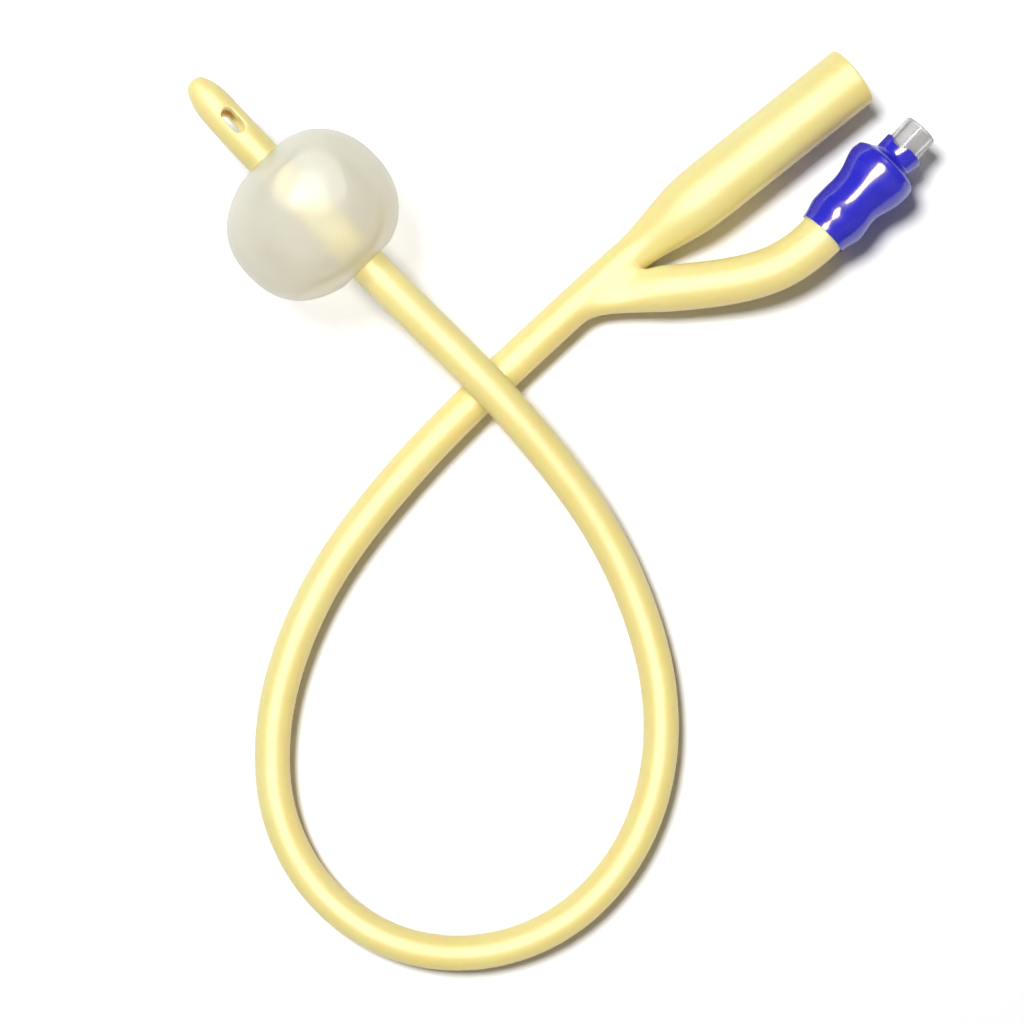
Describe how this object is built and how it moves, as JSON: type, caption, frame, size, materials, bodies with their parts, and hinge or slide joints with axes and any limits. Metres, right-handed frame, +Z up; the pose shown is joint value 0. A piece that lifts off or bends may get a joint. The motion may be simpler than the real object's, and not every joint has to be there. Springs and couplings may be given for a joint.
{
  "type": "foley urinary catheter",
  "caption": "Latex two-way urinary catheter with an inflated retention balloon, a drainage funnel and a sleeved inflation valve, lying in a loose loop.",
  "frame": {"origin": "on the table, under the middle of the part's box", "axes": "+X along the drainage funnel's axis, out of its mouth; +Z up from the table"},
  "size_m": [0.1622, 0.1502, 0.0289],
  "materials": {
    "latex": "smooth, satin to glossy coated latex",
    "balloon_film": "smooth, translucent",
    "sleeve_blue": "glossy shrunk film",
    "clear_plastic": "clear, glossy",
    "base_plastic": "matte",
    "plunger_plastic": "matte",
    "seal_rubber": "matte",
    "spring_steel": "drawn wire"
  },
  "bodies": {
    "catheter": {"catheter_body": "latex", "balloon": "balloon_film", "valve_sleeve": "sleeve_blue", "valve_housing": "clear_plastic", "valve_base": "base_plastic", "valve_spring": "spring_steel"},
    "plunger": {"valve_plunger": "plunger_plastic", "valve_seal": "seal_rubber"}
  },
  "joints": [
    {"name": "plunger_press", "type": "slide", "parent": "catheter", "child": "plunger", "axis": [-0.9905, -0.1374, 0], "range_m": [0, 0.0015], "stiffness_N_per_m": 400, "springref_m": -0.001, "deforming": ["valve_spring"]}
  ]
}
